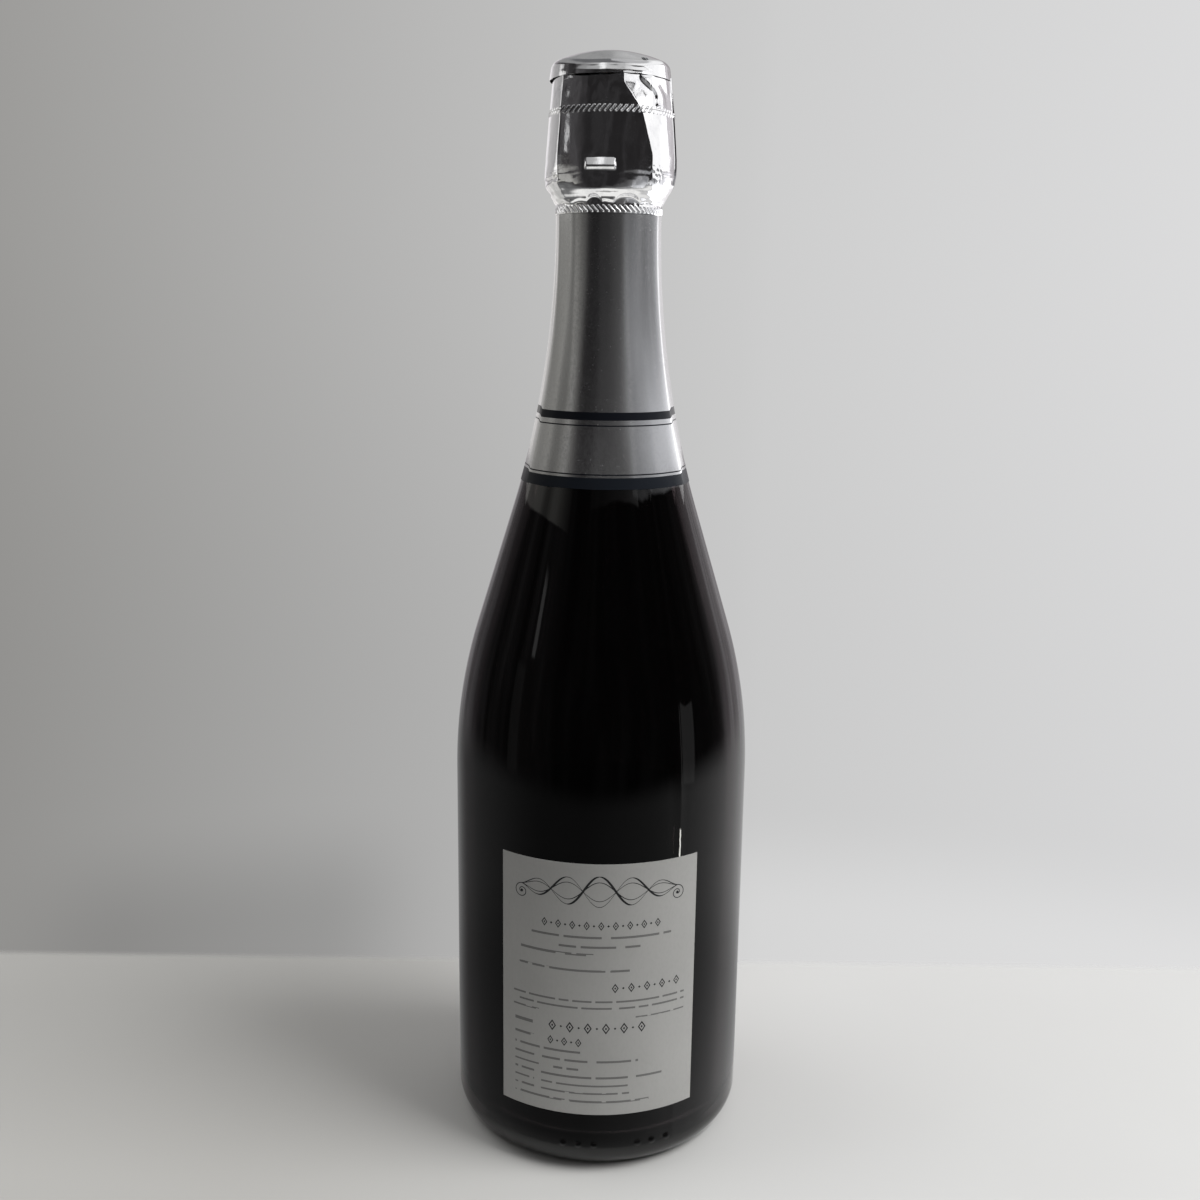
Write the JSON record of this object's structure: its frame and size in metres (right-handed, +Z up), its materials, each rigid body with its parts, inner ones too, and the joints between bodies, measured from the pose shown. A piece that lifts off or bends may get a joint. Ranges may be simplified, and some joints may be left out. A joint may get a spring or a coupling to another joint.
{
  "type": "champagne bottle",
  "caption": "Dark glass sparkling-wine bottle with a mushroom cork held by a wire cage under silver foil, a deep hollow in its base and two paper labels.",
  "frame": {"origin": "centre of the ring that the bottle stands on, on the table", "axes": "+Z up along the bottle's axis of revolution, -Y towards the pictured back label, +X to the right as pictured"},
  "size_m": [0.0886, 0.089, 0.319],
  "materials": {
    "bottle_glass": "glossy black-green glass",
    "grain_cork": "pressed cork grain",
    "disc_cork": "whole cork, fine pores",
    "cap_metal": "satin lacquered tinplate",
    "galvanised_wire": "bright zinc-coated wire",
    "bright_foil": "mirror-like crumpled silver foil",
    "satin_foil": "fine-grained satin silver foil with dark printed bands",
    "label_paper": "silver-grey satin label paper"
  },
  "bodies": {
    "bottle": {"glass_bottle": "bottle_glass", "foil_neck": "satin_foil", "back_label": "label_paper", "front_label": "label_paper"},
    "cork": {"cork_body": "grain_cork", "cork_disc_upper": "disc_cork", "cork_disc_lower": "disc_cork"},
    "wire_cage": {"metal_cap": "cap_metal", "cage_wire": "galvanised_wire", "belt_wire": "galvanised_wire"},
    "foil_cover": {"foil_top_disc": "bright_foil", "foil_hood": "bright_foil", "foil_tear_strip": "bright_foil"},
    "loop": {"twist_loop": "galvanised_wire"}
  },
  "joints": [
    {"name": "cork_pull", "type": "slide", "parent": "bottle", "child": "cork", "axis": [0, 0, 1], "range_m": [0, 0.08]},
    {"name": "cage_lift", "type": "slide", "parent": "cork", "child": "wire_cage", "axis": [0, 0, 1], "range_m": [0, 0.06], "deforming": ["cage_wire", "belt_wire"]},
    {"name": "foil_lift", "type": "slide", "parent": "wire_cage", "child": "foil_cover", "axis": [0, 0, 1], "range_m": [0, 0.12], "deforming": ["foil_tear_strip"]},
    {"name": "loop_swing", "type": "hinge", "parent": "wire_cage", "child": "loop", "pos_m": [0.0177, -0.00155, 0.28628], "axis": [0.0872, 0.9962, 0], "range_deg": [0, 100]}
  ],
  "couplings": [
    {"joint": "loop_swing", "follows": "foil_lift", "rad_per_m": 14.5}
  ]
}
